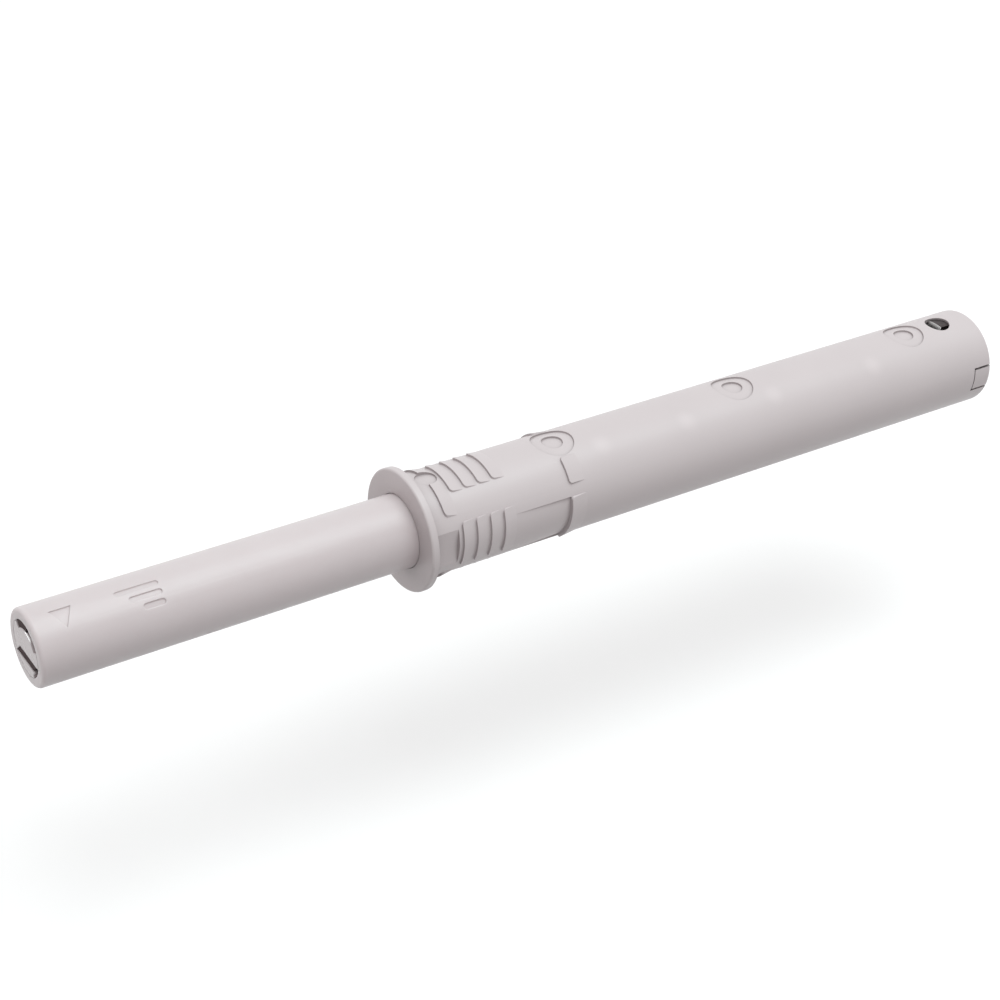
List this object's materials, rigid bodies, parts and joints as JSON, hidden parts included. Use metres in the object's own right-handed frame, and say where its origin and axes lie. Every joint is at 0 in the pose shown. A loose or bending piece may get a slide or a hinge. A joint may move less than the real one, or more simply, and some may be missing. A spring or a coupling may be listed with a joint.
{
  "type": "push to open catch",
  "caption": "Push to open cabinet catch: a sprung plunger with a magnet tip slides in a flanged, barbed barrel and is held in by a heart cam and wire follower.",
  "frame": {"origin": "on the barrel's axis, at the back face of the flange that stops on the wood", "axes": "+X along the barrel from the plunger's tip to the closed rear end, +Z to the side with the round dimples and the window, -Y to the side with the pressed bars"},
  "size_m": [0.1073, 0.012, 0.012],
  "materials": {
    "shell": "smooth satin moulded plastic, warm light grey",
    "inner": "smooth slippery moulded plastic, natural white",
    "steel": "dark finished stamped steel",
    "magnet": "nickel plated magnet",
    "spring_wire": "drawn spring steel wire",
    "rubber": "soft matt rubber"
  },
  "bodies": {
    "barrel": {"housing": "shell", "end_cap": "shell", "stop_ring": "rubber", "leaf_spring": "spring_wire", "spring_seat": "steel", "ejector_spring": "spring_wire"},
    "carriage": {"carriage": "inner", "spring_washer": "steel", "heart_cam": "inner"},
    "plunger": {"plunger": "shell", "magnet_holder": "shell", "magnet": "magnet", "upper_pole": "steel", "lower_pole": "steel"},
    "follower": {"follower_wire": "spring_wire"}
  },
  "joints": [
    {"name": "plunger_slide", "type": "slide", "parent": "barrel", "child": "carriage", "axis": [1, 0, 0], "range_m": [0, 0.034], "stiffness_N_per_m": 60, "springref_m": -0.01, "deforming": ["ejector_spring"]},
    {"name": "plunger_turn", "type": "hinge", "parent": "carriage", "child": "plunger", "pos_m": [0, 0, 0], "axis": [1, 0, 0], "range_deg": [-180, 180]},
    {"name": "follower_swing", "type": "hinge", "parent": "barrel", "child": "follower", "pos_m": [0.06592, 0.00042, 0.0018], "axis": [0, 0, 1], "range_deg": [-2.6, 6.6]}
  ]
}
